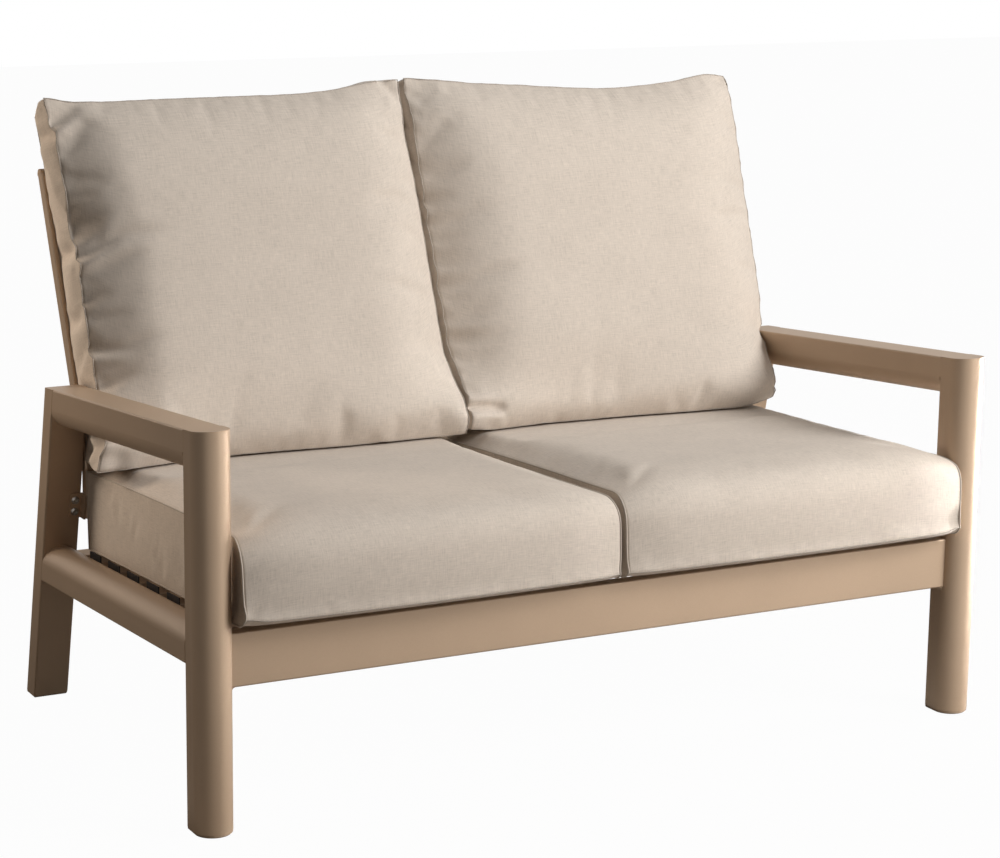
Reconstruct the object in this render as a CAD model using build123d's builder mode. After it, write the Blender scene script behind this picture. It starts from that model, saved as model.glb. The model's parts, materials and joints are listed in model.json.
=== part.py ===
"""Patio loveseat: an aluminium tube frame with a slatted deck, a bent back frame and four loose cushions.

Lengths are in millimetres. X runs across the seat, Y runs from the front to the back, Z is up.
The origin is on the floor, at the middle of the overall width and depth.
"left" is the -X side, as seen by someone who stands in front of the seat.
"""
import os
from math import cos, radians, sin, sqrt, tan

from build123d import *

os.makedirs("parts", exist_ok=True)

# Driving dimensions of the whole seat
overall_width = 1400.0
nose_to_origin = 428.5
side_names_shares = (("left", -1), ("right", 1))
cut_overrun = 20.0

# Frame tubes: a D shape with one flat face and a round nose, and plain rectangular tubes
tube_width = 60.0
tube_wall = 2.5
tube_corner = 3.0
leg_depth = 58.0
arm_depth = 63.8
rail_depth = 60.0
inner_face_x = overall_width / 2 - tube_width
leg_centre_x = overall_width / 2 - tube_width / 2
front_nose_y = -nose_to_origin
front_leg_back_y = front_nose_y + leg_depth

# Arms: the flat top falls towards the back
arm_above_deck = 293.0
arm_fall = 4.86
arm_top_ref_y = front_nose_y + leg_depth / 2

# Rear legs: rectangular tubes that lean, with the foot behind the top
rear_leg_depth = 39.0
rear_leg_lean = 13.4
rear_leg_front_to_bolt = 27.85

# Feet: plastic glides with a plug inside the tube
foot_height = 5.0
foot_inset = 0.4
foot_edge = 2.0
foot_plug = 20.0
plug_clearance = 0.2

# Seat box: side rails, apron and rear rail, all set down from the deck, and the slope that they share
seat_slope = 3.15
deck_front_height = 315.0
rail_crest_drop = 0.4
apron_height = 83.0
apron_depth = 25.0
apron_setback = 22.5
apron_drop = 12.5
apron_wall = 2.0
rear_rail_depth = 25.0
rear_rail_height = 50.0
rear_rail_drop = 41.4

# Deck: cross slats on three bearers
slat_count = 7
slat_width = 50.0
slat_thickness = 12.0
slat_corner = 2.5
slat_wall = 1.5
slat_end_gap = 3.0
slat_first = 62.0
slat_last = 634.0
slat_cap_lip = 2.0
slat_cap_plug = 12.0
bearer_width = 25.0
bearer_height = 30.0
bearer_inset = 52.0

# Back frame: two bent posts, rails, slats and a brace behind them
back_lean = 22.57
post_width = 40.0
post_depth = 20.0
post_wall = 2.0
post_corner = 3.0
post_bend_radius = 80.0
post_run = 651.0
bend_above_deck = 139.5
post_length_below_bend = 86.7
post_length_above_bend = 499.9
post_plug = 18.0
post_cap_rise = 9.0
back_rail_height = 40.0
back_top_rail_drop = 2.0
back_bottom_rail_rise = 8.0
back_slat_count = 5
back_slat_width = 50.0
back_slat_thickness = 8.0
back_slat_corner = 2.5
back_slat_start = 47.9
brace_depth = 12.0

# Back brackets and fasteners
bracket_thickness = 3.0
bracket_height = 44.0
bracket_drop = 4.0
bracket_flange = 20.0
bracket_reach = 21.0
bracket_corner = 5.0
bolt_radius = 4.0
bolt_head_radius = 7.0
bolt_head_top_radius = 5.0
bolt_head_height = 4.0
bolt_socket_radius = 2.6
bolt_socket_depth = 2.4
bolt_clearance = 0.15
bolt_grip = 14.0
insert_radius = 5.5
insert_length = 12.0
spacer_radius = 9.0
bracket_bolt_pitch = 20.0
post_bolt_above_bend = 33.3

# Seat cushions: side panels, a rounded front and a crowned top
cushion_gap = 4.0
cushion_side_gap = 1.5
soft_clearance = 0.5
seat_side_height = 132.0
seat_crown = 18.0
seat_crown_run = 120.0
seat_front_overhang = 18.0
seat_rear_gap = 1.0
seat_front_radius = 40.0
seat_front_bulge = 9.0
seat_side_draw = 4.0
seat_corner = 24.0
seat_edge_inset = 9.0
seat_low_shares = ((0.0, 1.0), (0.07, 0.25), (0.3, 0.0), (0.66, 0.0), (0.84, 0.05), (0.94, 0.25), (1.0, 0.8))
seat_crown_shares = ((0.42, 0.2), (0.8, 0.5), (1.0, 1.0))

# Back cushions: boxed, with a full front and drawn-in edges between the corners
back_cushion_tuck = 62.0
back_cushion_length = 652.0
back_inner_rise = 13.0
back_cushion_thickness = 105.0
back_crown = 46.0
back_crown_run = 210.0
back_flare = 38.0
back_side_gap = 4.0
back_draw = 10.0
back_inner_draw = 2.0
back_low_fullness_share = 0.25
back_corner = 26.0
back_edge_inset = 12.0
back_low_shares = ((0.0, 1.0), (0.1, 0.4), (0.32, 0.05), (0.6, 0.0), (0.86, 0.12), (1.0, 0.6))
back_crown_shares = ((0.3, 0.12), (0.62, 0.34), (0.88, 0.66), (1.0, 1.0))

# Directions and planes that several pieces share
arm_front_height = deck_front_height + arm_above_deck
arm_direction = (0, cos(radians(arm_fall)), -sin(radians(arm_fall)))
deck_direction = (0, cos(radians(seat_slope)), -sin(radians(seat_slope)))
deck_normal = (0, sin(radians(seat_slope)), cos(radians(seat_slope)))
leg_direction = (0, -sin(radians(rear_leg_lean)), cos(radians(rear_leg_lean)))
back_direction = (0, sin(radians(back_lean)), cos(radians(back_lean)))
back_normal = (0, -cos(radians(back_lean)), sin(radians(back_lean)))

arm_top_plane = Plane(
    origin=(0, arm_top_ref_y, arm_front_height),
    x_dir=(1, 0, 0),
    z_dir=(0, sin(radians(arm_fall)), cos(radians(arm_fall))),
)
deck_plane = Plane(origin=(0, front_nose_y, deck_front_height), x_dir=(1, 0, 0), z_dir=deck_normal)
bend_height = deck_front_height - post_run * tan(radians(seat_slope)) + bend_above_deck
back_plane = Plane(origin=(0, front_nose_y + post_run, bend_height), x_dir=(1, 0, 0), z_dir=back_normal)

# Where the back frame's bolts cross the posts, and the rear legs that stand round these bolts
post_low_height = bend_height - post_length_below_bend
post_bolt_height = bend_height + post_bolt_above_bend
post_bolt_y = (
    back_plane.origin.Y
    + post_bolt_above_bend * tan(radians(back_lean))
    + post_depth / 2 / cos(radians(back_lean))
)
rear_leg_floor_y = post_bolt_y - rear_leg_front_to_bolt + post_bolt_height * tan(radians(rear_leg_lean))
rear_leg_floor_run = rear_leg_floor_y - front_nose_y
rear_leg_front_plane = Plane(
    origin=(0, rear_leg_floor_y, 0),
    x_dir=(1, 0, 0),
    z_dir=(0, -cos(radians(rear_leg_lean)), -sin(radians(rear_leg_lean))),
)

# Where the brackets' bolts enter the rear legs
bracket_low = post_low_height - bracket_drop
bracket_middle = bracket_low + bracket_height / 2
flange_bolt_planes = {}
for side_name, side in side_names_shares:
    flange_bolt_planes[side_name] = [
        Plane(
            origin=(
                side * (inner_face_x + bracket_flange / 2),
                rear_leg_floor_y - height * tan(radians(rear_leg_lean)),
                height,
            ),
            x_dir=(1, 0, 0),
            z_dir=rear_leg_front_plane.z_dir,
        )
        for height in (bracket_middle - bracket_bolt_pitch / 2, bracket_middle + bracket_bolt_pitch / 2)
    ]

pieces_made = []


def keep_piece(builder, name):
    """Label a finished piece and write it to its own file."""
    builder.part.label = name
    export_step(builder.part, f"parts/{name}.step")
    pieces_made.append(name)


def d_section(plane, depth, inset=0.0):
    """A D shape: its flat face lies on the plane's x axis and its nose points along the plane's y."""
    half = tube_width / 2 - inset
    shoulder = depth - tube_width / 2
    corner = max(tube_corner - inset, tube_corner / 4)
    with BuildSketch(plane) as section:
        with BuildLine():
            Line((-half, inset), (half, inset))
            Line((half, inset), (half, shoulder))
            ThreePointArc((half, shoulder), (0, shoulder + half), (-half, shoulder))
            Line((-half, shoulder), (-half, inset))
        make_face()
        fillet(section.vertices().group_by(Axis.Y)[0], radius=corner)
    return section.sketch


def box_section(plane, width, height, corner, wall=0.0):
    """A rectangle with rounded corners, centred on the plane, hollow where a wall is given."""
    with BuildSketch(plane) as section:
        RectangleRounded(width, height, corner)
        if wall:
            Rectangle(width - 2 * wall, height - 2 * wall, mode=Mode.SUBTRACT)
    return section.sketch


def blend_corner(corner, before, after, radius):
    """The start, middle and end points of a rounded corner between two neighbouring corners."""
    to_before = (before - corner).normalized()
    to_after = (after - corner).normalized()
    start = corner + to_before * radius
    end = corner + to_after * radius
    middle = corner + (to_before + to_after) * (radius * (1 - sqrt(0.5)))
    return start, middle, end


def cushion_section(plane, corners, radius, draws):
    """A cushion's outline: rounded corners, and sides that are drawn in (or out) between them."""
    count = len(corners)
    points = [Vector(*corner) for corner in corners]
    centre = sum(points, Vector(0, 0)) / count
    rounded = [
        blend_corner(points[i], points[i - 1], points[(i + 1) % count], radius) for i in range(count)
    ]
    with BuildSketch(plane) as section:
        with BuildLine():
            for i in range(count):
                start, middle, end = rounded[i]
                following = rounded[(i + 1) % count][0]
                half_way = (end + following) / 2
                along = (following - end).normalized()
                inward = Vector(-along.Y, along.X)
                if inward.dot(centre - half_way) < 0:
                    inward = -inward
                ThreePointArc(start, middle, end)
                if draws[i]:
                    ThreePointArc(end, half_way + inward * draws[i], following)
                else:
                    Line(end, following)
        make_face()
    return section.sketch


# Front legs: upright D tubes, closed at the top by the same plane as the arm
for side_name, side in side_names_shares:
    leg_plane = Plane(
        origin=(side * leg_centre_x, front_leg_back_y, foot_height), x_dir=(-1, 0, 0), z_dir=(0, 0, 1)
    )
    with BuildPart() as front_leg_bore:
        extrude(to_extrude=d_section(leg_plane, leg_depth, tube_wall), amount=arm_front_height)
        split(bisect_by=arm_top_plane.offset(-tube_wall), keep=Keep.BOTTOM)
    with BuildPart() as front_leg:
        extrude(to_extrude=d_section(leg_plane, leg_depth), amount=arm_front_height)
        split(bisect_by=arm_top_plane, keep=Keep.BOTTOM)
        add(front_leg_bore.part, mode=Mode.SUBTRACT)
    keep_piece(front_leg, f"front_leg_{side_name}")

# Front feet: a lip under the tube and a plug inside it
for side_name, side in side_names_shares:
    floor_plane = Plane(
        origin=(side * leg_centre_x, front_leg_back_y, 0), x_dir=(-1, 0, 0), z_dir=(0, 0, 1)
    )
    with BuildPart() as front_foot:
        extrude(to_extrude=d_section(floor_plane, leg_depth, foot_inset), amount=foot_height)
        chamfer(front_foot.faces().sort_by(Axis.Z)[0].edges(), length=foot_edge)
        extrude(
            to_extrude=d_section(floor_plane, leg_depth, tube_wall + plug_clearance),
            amount=foot_height + foot_plug,
        )
    keep_piece(front_foot, f"front_foot_{side_name}")

# Rear legs: leaning rectangular tubes, closed at the top by the arm's plane
rear_leg_length = arm_front_height + tube_width
insert_hole_radius = insert_radius + bolt_clearance
rear_leg_planes = {}
for side_name, side in side_names_shares:
    axis_point = rear_leg_front_plane.offset(-rear_leg_depth / 2).origin
    axis_start = axis_point + Vector(side * leg_centre_x, 0, 0) - Vector(*leg_direction) * tube_width
    rear_leg_planes[side_name] = Plane(origin=axis_start, x_dir=(1, 0, 0), z_dir=leg_direction)
    rear_leg_plane = rear_leg_planes[side_name]
    with BuildPart() as rear_leg_bore:
        extrude(
            to_extrude=box_section(
                rear_leg_plane,
                tube_width - 2 * tube_wall,
                rear_leg_depth - 2 * tube_wall,
                tube_corner / 2,
            ),
            amount=rear_leg_length,
        )
        split(bisect_by=arm_top_plane.offset(-tube_wall), keep=Keep.BOTTOM)
    with BuildPart() as rear_leg:
        extrude(
            to_extrude=box_section(rear_leg_plane, tube_width, rear_leg_depth, tube_corner),
            amount=rear_leg_length,
        )
        split(bisect_by=arm_top_plane, keep=Keep.BOTTOM)
        split(bisect_by=Plane.XY.offset(foot_height), keep=Keep.TOP)
        add(rear_leg_bore.part, mode=Mode.SUBTRACT)
        # Holes for the threaded inserts, one in the inner wall and two in the front wall
        inner_hole_plane = Plane(
            origin=(side * inner_face_x, post_bolt_y, post_bolt_height), z_dir=(side, 0, 0)
        )
        with Locations(inner_hole_plane, *flange_bolt_planes[side_name]):
            Cylinder(insert_hole_radius, 3 * tube_wall, mode=Mode.SUBTRACT)
    keep_piece(rear_leg, f"rear_leg_{side_name}")

# Rear feet: the same glides, cut level under the leaning legs
plug_inset = tube_wall + plug_clearance
for side_name, side in side_names_shares:
    with BuildPart() as rear_foot:
        extrude(
            to_extrude=box_section(
                rear_leg_planes[side_name],
                tube_width - 2 * foot_inset,
                rear_leg_depth - 2 * foot_inset,
                tube_corner,
            ),
            amount=2 * tube_width,
        )
        split(bisect_by=Plane.XY.offset(foot_height), keep=Keep.BOTTOM)
        extrude(
            to_extrude=box_section(
                rear_leg_planes[side_name],
                tube_width - 2 * plug_inset,
                rear_leg_depth - 2 * plug_inset,
                tube_corner / 2,
            ),
            amount=tube_width + foot_height + foot_plug,
        )
        split(bisect_by=Plane.XY, keep=Keep.TOP)
        chamfer(rear_foot.faces().sort_by(Axis.Z)[0].edges(), length=foot_edge)
    keep_piece(rear_foot, f"rear_foot_{side_name}")


def side_tube(section_plane, depth):
    """A D tube along the plane's normal, from the front leg's flat back to the rear leg's front."""
    with BuildPart() as tube:
        extrude(to_extrude=d_section(section_plane, depth), amount=rear_leg_floor_run)
        extrude(
            to_extrude=d_section(section_plane, depth, tube_wall),
            amount=rear_leg_floor_run,
            mode=Mode.SUBTRACT,
        )
        split(bisect_by=Plane.XZ.offset(-front_leg_back_y), keep=Keep.BOTTOM)
        split(bisect_by=rear_leg_front_plane, keep=Keep.TOP)
    return tube


# Arms: D tubes with the flat side up and the nose down
arm_start_height = arm_front_height + (arm_top_ref_y - front_nose_y) * tan(radians(arm_fall))
for side_name, side in side_names_shares:
    arm_plane = Plane(
        origin=(side * leg_centre_x, front_nose_y, arm_start_height), x_dir=(1, 0, 0), z_dir=arm_direction
    )
    keep_piece(side_tube(arm_plane, arm_depth), f"arm_{side_name}")

# Side rails: D tubes with the nose up, falling towards the back
rail_start_height = (
    deck_front_height - rail_crest_drop - rail_depth + leg_depth * tan(radians(seat_slope))
)
for side_name, side in side_names_shares:
    rail_plane = Plane(
        origin=(side * leg_centre_x, front_nose_y, rail_start_height),
        x_dir=(-1, 0, 0),
        z_dir=deck_direction,
    )
    keep_piece(side_tube(rail_plane, rail_depth), f"side_rail_{side_name}")

# Apron: a tall rectangular tube between the front legs, its ends coped to their round noses
apron_front_y = front_nose_y + apron_setback
apron_back_y = apron_front_y + apron_depth
apron_centre_height = deck_front_height - apron_drop - apron_height / 2
apron_plane = Plane(
    origin=(-leg_centre_x, apron_front_y + apron_depth / 2, apron_centre_height),
    x_dir=(0, 1, 0),
    z_dir=(1, 0, 0),
)
with BuildPart() as front_apron:
    extrude(
        to_extrude=box_section(apron_plane, apron_depth, apron_height, tube_corner, apron_wall),
        amount=2 * leg_centre_x,
    )
    for side_name, side in side_names_shares:
        cope_plane = Plane(
            origin=(side * leg_centre_x, front_leg_back_y, 0), x_dir=(-1, 0, 0), z_dir=(0, 0, 1)
        )
        extrude(
            to_extrude=d_section(cope_plane, leg_depth), amount=arm_front_height, mode=Mode.SUBTRACT
        )
keep_piece(front_apron, "front_apron")

# Rear rail: a rectangular tube between the rear legs, leaning with them
rear_rail_centre_height = (
    deck_front_height - rear_leg_floor_run * tan(radians(seat_slope)) - rear_rail_drop
)
rear_rail_centre_y = (
    rear_leg_floor_y
    - rear_rail_centre_height * tan(radians(rear_leg_lean))
    + rear_leg_depth / 2 / cos(radians(rear_leg_lean))
)
rear_rail_plane = Plane(
    origin=(-inner_face_x, rear_rail_centre_y, rear_rail_centre_height),
    x_dir=(0, cos(radians(rear_leg_lean)), sin(radians(rear_leg_lean))),
    z_dir=(1, 0, 0),
)
with BuildPart() as rear_rail:
    extrude(
        to_extrude=box_section(rear_rail_plane, rear_rail_depth, rear_rail_height, tube_corner, apron_wall),
        amount=2 * inner_face_x,
    )
keep_piece(rear_rail, "rear_rail")
rear_rail_front_plane = Plane(
    origin=(0, rear_rail_centre_y, rear_rail_centre_height),
    x_dir=(1, 0, 0),
    z_dir=(0, -cos(radians(rear_leg_lean)), -sin(radians(rear_leg_lean))),
).offset(rear_rail_depth / 2)

# Deck bearers: three tubes from the apron back to the rear rail, under the slats
bearer_names_shares = (("left", -1), ("centre", 0), ("right", 1))
bearer_drop = soft_clearance + slat_thickness + bearer_height / 2
for bearer_name, bearer_share in bearer_names_shares:
    bearer_x = bearer_share * (inner_face_x - bearer_inset)
    bearer_plane = Plane(
        origin=deck_plane.from_local_coords((bearer_x, 0, -bearer_drop)),
        x_dir=(1, 0, 0),
        z_dir=deck_direction,
    )
    with BuildPart() as deck_bearer:
        extrude(
            to_extrude=box_section(bearer_plane, bearer_width, bearer_height, tube_corner, apron_wall),
            amount=rear_leg_floor_run,
        )
        split(bisect_by=Plane.XZ.offset(-apron_back_y), keep=Keep.BOTTOM)
        split(bisect_by=rear_rail_front_plane, keep=Keep.TOP)
    keep_piece(deck_bearer, f"deck_bearer_{bearer_name}")

# Deck slats: flat tubes across the bearers, just under the seat cushions
slat_half_length = inner_face_x - slat_end_gap
slat_pitch = (slat_last - slat_first - slat_width) / (slat_count - 1)
slat_planes = []
for slat in range(slat_count):
    along = slat_first + slat_width / 2 + slat * slat_pitch
    centre = deck_plane.from_local_coords((0, along, -soft_clearance - slat_thickness / 2))
    slat_planes.append(Plane(origin=centre, x_dir=deck_direction, z_dir=(1, 0, 0)))
for slat, slat_plane in enumerate(slat_planes, start=1):
    with BuildPart() as deck_slat:
        extrude(
            to_extrude=box_section(slat_plane, slat_width, slat_thickness, slat_corner, slat_wall),
            amount=slat_half_length,
            both=True,
        )
    keep_piece(deck_slat, f"deck_slat_{slat}")

# Slat end caps: a lip on each end of each slat and a plug inside it
cap_plug_inset = slat_wall + plug_clearance
with BuildPart() as slat_end_caps:
    for slat_plane in slat_planes:
        for side_name, side in side_names_shares:
            end_plane = Plane(
                origin=slat_plane.origin + Vector(side * slat_half_length, 0, 0),
                x_dir=slat_plane.x_dir * side,
                z_dir=(side, 0, 0),
            )
            with BuildSketch(end_plane):
                Rectangle(slat_width, slat_thickness)
            extrude(amount=slat_cap_lip)
            with BuildSketch(end_plane):
                Rectangle(slat_width - 2 * cap_plug_inset, slat_thickness - 2 * cap_plug_inset)
            extrude(amount=-slat_cap_plug)
keep_piece(slat_end_caps, "slat_end_caps")


# Back frame: its front faces lie on one plane, with a bend just above the seat
post_outer_x = inner_face_x - bracket_thickness
post_centre_x = post_outer_x - post_width / 2
post_inner_x = post_outer_x - post_width
top_rail_high = post_length_above_bend - back_top_rail_drop
top_rail_low = top_rail_high - back_rail_height
bottom_rail_low = post_low_height + back_bottom_rail_rise
bottom_rail_high = bottom_rail_low + back_rail_height


def draw_back_line(depth, low_height, top_length):
    """Draw the bent side line of the back frame, a given depth behind its front faces."""
    low_y = front_nose_y + post_run + depth
    top = back_plane.from_local_coords((0, top_length, -depth))
    corner_height = top.Z - (top.Y - low_y) / tan(radians(back_lean))
    radius = post_bend_radius + post_depth / 2 - depth
    FilletPolyline((low_y, low_height), (low_y, corner_height), (top.Y, top.Z), radius=radius)


def bent_bar_section(centre_x, depth, thickness, low_height, top_length):
    """The side outline of a bent bar whose middle line lies a given depth behind the front faces."""
    with BuildSketch(Plane.YZ.offset(centre_x)) as section:
        with BuildLine():
            draw_back_line(depth, low_height, top_length)
        trace(line_width=thickness)
    return section.sketch


def bent_tube(centre_x, depth, thickness, low_height, top_length):
    """A hollow bar along the back's side line, its middle a given depth behind the front faces."""
    outside = bent_bar_section(centre_x, depth, thickness, low_height, top_length)
    inside = bent_bar_section(centre_x, depth, thickness - 2 * post_wall, low_height, top_length)
    with BuildPart() as tube:
        extrude(to_extrude=outside, amount=post_width / 2, both=True)
        long_edges = tube.edges().filter_by(Axis.X, reverse=True)
        fillet(long_edges.filter_by(lambda edge: edge.length > post_depth + post_corner), post_corner)
        extrude(to_extrude=inside, amount=post_width / 2 - post_wall, both=True, mode=Mode.SUBTRACT)
    return tube.part


# Back posts: bent rectangular tubes, upright behind the seat cushions and leaning above them
post_bolt_axis = {}
for side_name, side in side_names_shares:
    post_bolt_axis[side_name] = Plane(
        origin=(side * post_inner_x, post_bolt_y, post_bolt_height), x_dir=(0, 1, 0), z_dir=(-side, 0, 0)
    )
    post_tube = bent_tube(
        side * post_centre_x, post_depth / 2, post_depth, post_low_height, post_length_above_bend
    )
    with BuildPart() as back_post:
        add(post_tube)
        with Locations(post_bolt_axis[side_name]):
            Cylinder(bolt_radius + bolt_clearance, 2 * post_width + cut_overrun, mode=Mode.SUBTRACT)
    keep_piece(back_post, f"back_post_{side_name}")

# Post caps: a low dome on each post's top, with a plug inside the tube
for side_name, side in side_names_shares:
    cap_plane = Plane(
        origin=back_plane.from_local_coords(
            (side * post_centre_x, post_length_above_bend, -post_depth / 2)
        ),
        x_dir=tuple(-value for value in back_normal),
        z_dir=(1, 0, 0),
    )
    with BuildPart() as post_cap:
        with BuildSketch(cap_plane):
            with BuildLine():
                Line((-post_depth / 2, 0), (post_depth / 2, 0))
                ThreePointArc((post_depth / 2, 0), (0, post_cap_rise), (-post_depth / 2, 0))
            make_face()
        extrude(amount=post_width / 2, both=True)
        with BuildSketch(cap_plane):
            with Locations((0, -post_plug / 2)):
                Rectangle(post_depth - 2 * (post_wall + plug_clearance), post_plug)
        extrude(amount=post_width / 2 - post_wall - plug_clearance, both=True)
    keep_piece(post_cap, f"post_cap_{side_name}")

# Post end plugs: a thin lip under each post, with a plug inside the tube
with BuildPart() as post_end_plugs:
    for side_name, side in side_names_shares:
        post_end_plane = Plane(
            origin=(
                side * post_centre_x, front_nose_y + post_run + post_depth / 2, post_low_height
            ),
            x_dir=(1, 0, 0),
            z_dir=(0, 0, -1),
        )
        extrude(
            to_extrude=box_section(post_end_plane, post_width, post_depth, post_corner),
            amount=slat_cap_lip,
        )
        with BuildSketch(post_end_plane):
            Rectangle(
                post_width - 2 * (post_wall + plug_clearance), post_depth - 2 * (post_wall + plug_clearance)
            )
        extrude(amount=-post_plug)
keep_piece(post_end_plugs, "post_end_plugs")

# Back rails: the top one leans with the posts, the bottom one is upright
top_rail_centre = (top_rail_low + top_rail_high) / 2
top_rail_plane = Plane(
    origin=back_plane.from_local_coords((0, top_rail_centre, -post_depth / 2)),
    x_dir=back_normal,
    z_dir=(1, 0, 0),
)
with BuildPart() as back_top_rail:
    extrude(
        to_extrude=box_section(top_rail_plane, post_depth, back_rail_height, post_corner, post_wall),
        amount=post_inner_x,
        both=True,
    )
keep_piece(back_top_rail, "back_top_rail")

bottom_rail_plane = Plane(
    origin=(
        0,
        front_nose_y + post_run + post_depth / 2,
        (bottom_rail_low + bottom_rail_high) / 2,
    ),
    x_dir=(0, 1, 0),
    z_dir=(1, 0, 0),
)
with BuildPart() as back_bottom_rail:
    extrude(
        to_extrude=box_section(bottom_rail_plane, post_depth, back_rail_height, post_corner, post_wall),
        amount=post_inner_x,
        both=True,
    )
keep_piece(back_bottom_rail, "back_bottom_rail")

# Back slats: evenly spaced between the bend and the top rail, flush with the posts' front faces
back_slat_gap = (top_rail_low - back_slat_start - back_slat_count * back_slat_width) / back_slat_count
for slat in range(back_slat_count):
    along = back_slat_start + back_slat_width / 2 + slat * (back_slat_width + back_slat_gap)
    back_slat_plane = Plane(
        origin=back_plane.from_local_coords((0, along, -back_slat_thickness / 2)),
        x_dir=back_normal,
        z_dir=(1, 0, 0),
    )
    with BuildPart() as back_slat:
        extrude(
            to_extrude=box_section(
                back_slat_plane, back_slat_thickness, back_slat_width, back_slat_corner, slat_wall
            ),
            amount=post_inner_x,
            both=True,
        )
    keep_piece(back_slat, f"back_slat_{slat + 1}")

# Back brace: a bent bar behind the slats, from the bottom rail to the top rail
with BuildPart() as back_brace:
    add(
        bent_tube(
            0, back_slat_thickness + brace_depth / 2, brace_depth, bottom_rail_high, top_rail_low
        )
    )
keep_piece(back_brace, "back_brace")

# Brackets: an angle on each rear leg's front face that carries the low end of a back post
bracket_run = bracket_thickness / cos(radians(rear_leg_lean))
for side_name, side in side_names_shares:
    bracket_plane = Plane(
        origin=(
            side * inner_face_x,
            rear_leg_floor_y - bracket_low * tan(radians(rear_leg_lean)),
            bracket_low,
        ),
        x_dir=(1, 0, 0),
        z_dir=(0, 0, 1),
    )
    with BuildPart() as back_bracket:
        with BuildSketch(bracket_plane) as bracket_section:
            with BuildLine():
                Polyline(
                    (-side * bracket_thickness, 0),
                    (side * bracket_flange, 0),
                    (side * bracket_flange, -bracket_run),
                    (0, -bracket_run),
                    (0, -bracket_reach),
                    (-side * bracket_thickness, -bracket_reach),
                    close=True,
                )
            make_face()
        extrude(
            to_extrude=bracket_section.sketch,
            amount=bracket_height / cos(radians(rear_leg_lean)),
            dir=leg_direction,
        )
        flange_end = back_bracket.edges().group_by(Axis.X)[-1 if side > 0 else 0]
        fillet(flange_end.sort_by(SortBy.LENGTH)[:2], radius=bracket_corner)
        with Locations(*flange_bolt_planes[side_name]):
            Cylinder(
                bolt_radius + bolt_clearance, bracket_thickness + cut_overrun, mode=Mode.SUBTRACT
            )
    keep_piece(back_bracket, f"back_bracket_{side_name}")


def button_bolt(length):
    """A low-head bolt with a hexagon socket: its head stands on the plane, its shank goes down."""
    with BuildPart() as bolt:
        Cone(
            bolt_head_radius, bolt_head_top_radius, bolt_head_height, align=(Align.CENTER, Align.CENTER, Align.MIN)
        )
        with BuildSketch(Plane.XY.offset(bolt_head_height)):
            RegularPolygon(bolt_socket_radius, 6)
        extrude(amount=-bolt_socket_depth, mode=Mode.SUBTRACT)
        with BuildSketch(Plane.XY):
            Circle(bolt_radius)
        extrude(amount=-length)
    return bolt.part


def threaded_insert(length):
    """A hexagonal sleeve set flush in a tube's wall, with its bore along the plane's normal."""
    with BuildPart() as insert:
        with BuildSketch(Plane.XY):
            RegularPolygon(insert_radius, 6)
            Circle(bolt_radius + bolt_clearance, mode=Mode.SUBTRACT)
        extrude(amount=-length)
    return insert.part


# Bracket bolts: two on each bracket, into inserts in the leg's front wall
flange_bolt = button_bolt(bracket_thickness + bolt_grip)
with BuildPart() as bracket_bolts:
    for side_name, side in side_names_shares:
        for bolt_plane in flange_bolt_planes[side_name]:
            with Locations(bolt_plane.offset(bracket_thickness)):
                add(flange_bolt)
keep_piece(bracket_bolts, "bracket_bolts")

# Post bolts: one through each back post and its spacer, into an insert in the leg's inner wall
post_bolt = button_bolt(post_width + bracket_thickness + bolt_grip)
with BuildPart() as post_bolts:
    for side_name, side in side_names_shares:
        with Locations(post_bolt_axis[side_name]):
            add(post_bolt)
keep_piece(post_bolts, "post_bolts")

# Spacers: a thick washer between each back post and the leg, the bracket's thickness
with BuildPart() as post_spacers:
    for side_name, side in side_names_shares:
        with BuildSketch(post_bolt_axis[side_name].offset(-post_width)):
            Circle(spacer_radius)
            Circle(bolt_radius + bolt_clearance, mode=Mode.SUBTRACT)
        extrude(amount=-bracket_thickness)
keep_piece(post_spacers, "post_spacers")

# Threaded inserts: one for each bolt, flush in the wall of the leg
insert_sleeve = threaded_insert(insert_length)
with BuildPart() as threaded_inserts:
    for side_name, side in side_names_shares:
        with Locations(
            post_bolt_axis[side_name].offset(-post_width - bracket_thickness),
            *flange_bolt_planes[side_name],
        ):
            add(insert_sleeve)
keep_piece(threaded_inserts, "threaded_inserts")


def seat_front_offset(height):
    """How far the round front edge of a seat cushion lies behind its front at a given height."""
    above_round = height - (seat_side_height - seat_front_radius)
    if above_round <= 0:
        return 0
    return seat_front_radius - sqrt(seat_front_radius**2 - above_round**2)


def seat_cushion_level(side, height, inset, front_offset):
    """One level of a seat cushion, drawn on the deck's plane at a height above the slats."""
    inner_x = cushion_gap / 2 + inset
    outer_x = inner_face_x - cushion_side_gap - inset
    front = -seat_front_overhang + inset + front_offset
    rear = seat_rear_end - inset
    corners = [
        (side * inner_x, front),
        (side * outer_x, front),
        (side * outer_x, rear),
        (side * inner_x, rear),
    ]
    draws = [-seat_front_bulge, seat_side_draw, seat_side_draw, seat_side_draw]
    return cushion_section(deck_plane.offset(height), corners, seat_corner, draws)


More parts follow.
